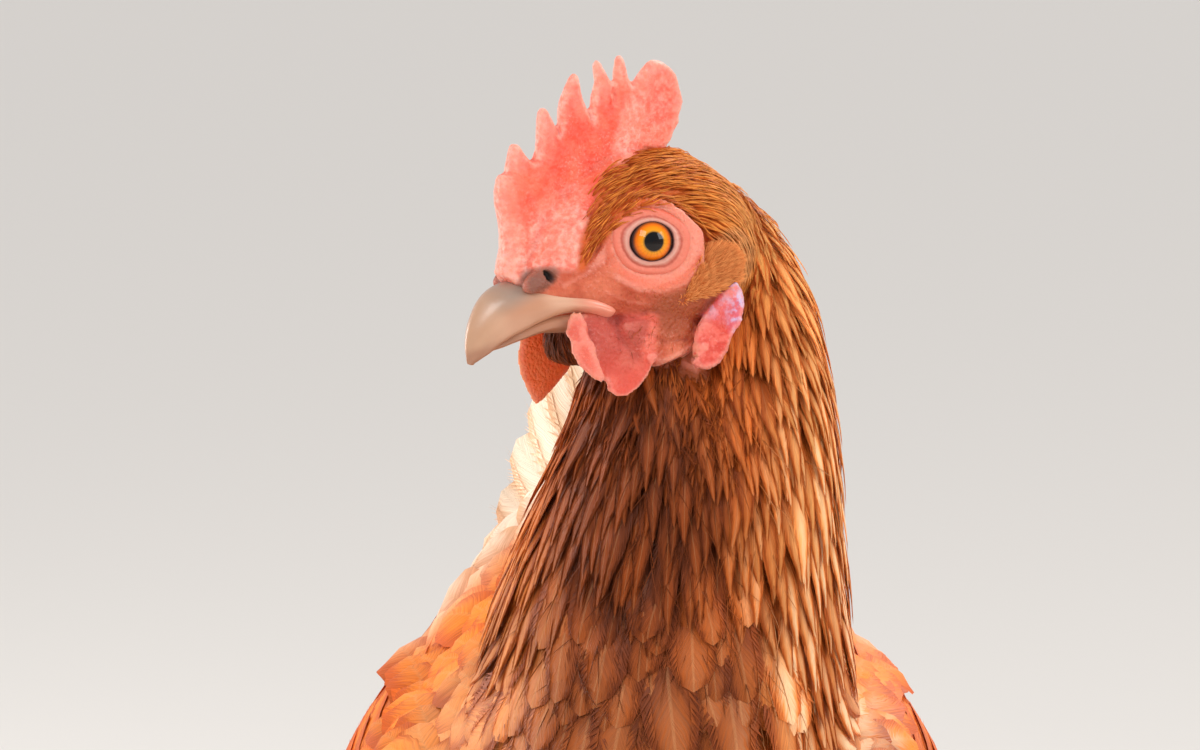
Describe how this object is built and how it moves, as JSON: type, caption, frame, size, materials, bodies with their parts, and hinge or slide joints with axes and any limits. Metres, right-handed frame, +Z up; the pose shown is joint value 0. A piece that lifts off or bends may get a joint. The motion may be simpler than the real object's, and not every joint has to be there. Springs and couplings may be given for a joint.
{
  "type": "brown laying hen",
  "caption": "Life-size standing brown laying hen with upright single comb, red wattles and head turned to its right.",
  "frame": {"origin": "on the floor under the middle of the hen's box, between and a little behind its feet", "axes": "+Z up; the body faces -Y and its own left side is on +X; the head is turned towards -X"},
  "size_m": [0.1428, 0.3322, 0.387],
  "materials": {
    "body_plumage": "soft overlapping body feathers, golden brown",
    "hackle": "lance-shaped neck feathers, chestnut with pale shafts and edges",
    "wing_feathers": "firm flight feathers and coverts, light orange-brown",
    "tail_feathers": "firm tail feathers, cream with brown bases",
    "face_skin": "bare, finely wrinkled skin, warm red-pink",
    "comb": "soft pebbled skin, bright red-pink",
    "horn": "smooth horn, pale pinkish grey with a satin shine",
    "earlobe": "soft skin, red with a pale violet patch",
    "eye": "wet glossy eye, amber ring round a black pupil",
    "leg_skin": "horny plates, pale yellow-buff",
    "claw": "smooth horn, pale brown"
  },
  "bodies": {
    "root": {"torso": "body_plumage", "neck": "hackle", "tail": "tail_feathers", "head": "face_skin", "comb": "comb", "beak_upper": "horn", "beak_lower": "horn", "wing_left": "wing_feathers", "thigh_left": "body_plumage", "eye_left": "eye", "wattle_left": "comb", "earlobe_left": "earlobe", "shank_left": "leg_skin", "toe_middle_left": "leg_skin", "claw_middle_left": "claw", "toe_inner_left": "leg_skin", "claw_inner_left": "claw", "toe_outer_left": "leg_skin", "claw_outer_left": "claw", "toe_hind_left": "leg_skin", "claw_hind_left": "claw", "wing_right": "wing_feathers", "thigh_right": "body_plumage", "eye_right": "eye", "wattle_right": "comb", "earlobe_right": "earlobe", "shank_right": "leg_skin", "toe_middle_right": "leg_skin", "claw_middle_right": "claw", "toe_inner_right": "leg_skin", "claw_inner_right": "claw", "toe_outer_right": "leg_skin", "claw_outer_right": "claw", "toe_hind_right": "leg_skin", "claw_hind_right": "claw"}
  },
  "joints": []
}
